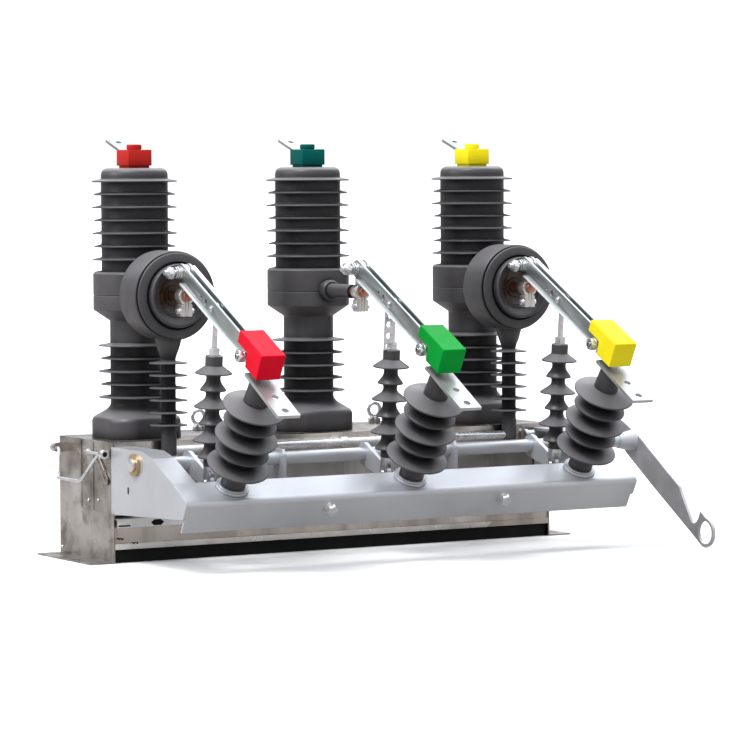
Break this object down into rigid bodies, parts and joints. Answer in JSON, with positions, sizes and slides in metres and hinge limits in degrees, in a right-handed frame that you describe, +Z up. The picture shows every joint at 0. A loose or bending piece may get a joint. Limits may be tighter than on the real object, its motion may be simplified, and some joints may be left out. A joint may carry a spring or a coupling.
{
  "type": "outdoor circuit breaker",
  "caption": "Outdoor vacuum circuit breaker: insulated poles on a steel box, with a linked row of disconnector blades, current transformers and a hand lever.",
  "frame": {"origin": "ground plane below the middle pole, centred between the four foot slots", "axes": "+X along the box to the lever side, -Y towards the disconnector, +Z up"},
  "size_m": [1.164, 0.7282, 0.7999],
  "materials": {
    "stainless": "brushed",
    "insulation": "satin",
    "silver_paint": "satin",
    "galvanised": "satin",
    "tinned_copper": "satin",
    "copper": "satin",
    "brass": "satin",
    "dark_metal": "satin",
    "cover_red": "satin",
    "cover_green": "satin",
    "cover_yellow": "satin"
  },
  "bodies": {
    "frame": {"bail_lugs": "stainless", "box_body": "stainless", "box_lid": "stainless", "control_socket": "stainless", "current_transformer_left": "insulation", "current_transformer_right": "insulation", "end_plate_left": "stainless", "end_plate_right": "stainless", "frame_arm_left": "silver_paint", "frame_arm_right": "silver_paint", "frame_beam": "silver_paint", "lifting_eyes": "galvanised", "lower_terminal_left": "tinned_copper", "lower_terminal_middle": "tinned_copper", "lower_terminal_right": "tinned_copper", "outlet_arm_middle": "insulation", "outlet_clamp_left": "tinned_copper", "outlet_clamp_middle": "tinned_copper", "outlet_clamp_right": "tinned_copper", "outlet_studs": "copper", "pole_left": "insulation", "pole_middle": "insulation", "pole_right": "insulation", "post_insulator_left": "insulation", "post_insulator_middle": "insulation", "post_insulator_right": "insulation", "shaft_brackets": "silver_paint", "shaft_bushes": "brass", "terminal_cover_left": "cover_red", "terminal_cover_middle": "cover_green", "terminal_cover_right": "cover_yellow", "upper_terminals": "tinned_copper", "wiring_conduit": "galvanised"},
    "shaft": {"shaft_tube": "silver_paint", "shaft_cranks": "silver_paint", "operating_lever": "galvanised"},
    "bail": {"carrying_bail": "galvanised"},
    "blade_left": {"blade_left": "tinned_copper", "blade_cover_left": "cover_red"},
    "drive_left": {"drive_insulator_left": "insulation", "drive_fitting_left": "galvanised"},
    "blade_middle": {"blade_middle": "tinned_copper", "blade_cover_middle": "cover_green"},
    "drive_middle": {"drive_insulator_middle": "insulation", "drive_fitting_middle": "galvanised"},
    "blade_right": {"blade_right": "tinned_copper", "blade_cover_right": "cover_yellow"},
    "drive_right": {"drive_insulator_right": "insulation", "drive_fitting_right": "galvanised"}
  },
  "joints": [
    {"name": "shaft_turn", "type": "hinge", "parent": "frame", "child": "shaft", "pos_m": [0, -0.22, 0.194], "axis": [-1, 0, 0], "range_deg": [0, 50]},
    {"name": "blade_swing_left", "type": "hinge", "parent": "frame", "child": "blade_left", "pos_m": [-0.38, -0.209, 0.5495], "axis": [-1, 0, 0], "range_deg": [0, 32]},
    {"name": "drive_link_left", "type": "hinge", "parent": "shaft", "child": "drive_left", "pos_m": [-0.38, -0.303, 0.163], "axis": [-1, 0, 0], "range_deg": [-54, 0]},
    {"name": "blade_swing_middle", "type": "hinge", "parent": "frame", "child": "blade_middle", "pos_m": [0, -0.209, 0.5495], "axis": [-1, 0, 0], "range_deg": [0, 32]},
    {"name": "drive_link_middle", "type": "hinge", "parent": "shaft", "child": "drive_middle", "pos_m": [0, -0.303, 0.163], "axis": [-1, 0, 0], "range_deg": [-54, 0]},
    {"name": "blade_swing_right", "type": "hinge", "parent": "frame", "child": "blade_right", "pos_m": [0.38, -0.209, 0.5495], "axis": [-1, 0, 0], "range_deg": [0, 32]},
    {"name": "drive_link_right", "type": "hinge", "parent": "shaft", "child": "drive_right", "pos_m": [0.38, -0.303, 0.163], "axis": [-1, 0, 0], "range_deg": [-54, 0]},
    {"name": "bail_swing", "type": "hinge", "parent": "frame", "child": "bail", "pos_m": [-0.505, 0, 0.208], "axis": [0, 1, 0], "range_deg": [0, 60]}
  ],
  "couplings": [
    {"joint": "blade_swing_left", "follows": "shaft_turn", "ratio": 0.6291},
    {"joint": "drive_link_left", "follows": "shaft_turn", "ratio": -1.0687},
    {"joint": "blade_swing_middle", "follows": "shaft_turn", "ratio": 0.6291},
    {"joint": "drive_link_middle", "follows": "shaft_turn", "ratio": -1.0687},
    {"joint": "blade_swing_right", "follows": "shaft_turn", "ratio": 0.6291},
    {"joint": "drive_link_right", "follows": "shaft_turn", "ratio": -1.0687}
  ]
}
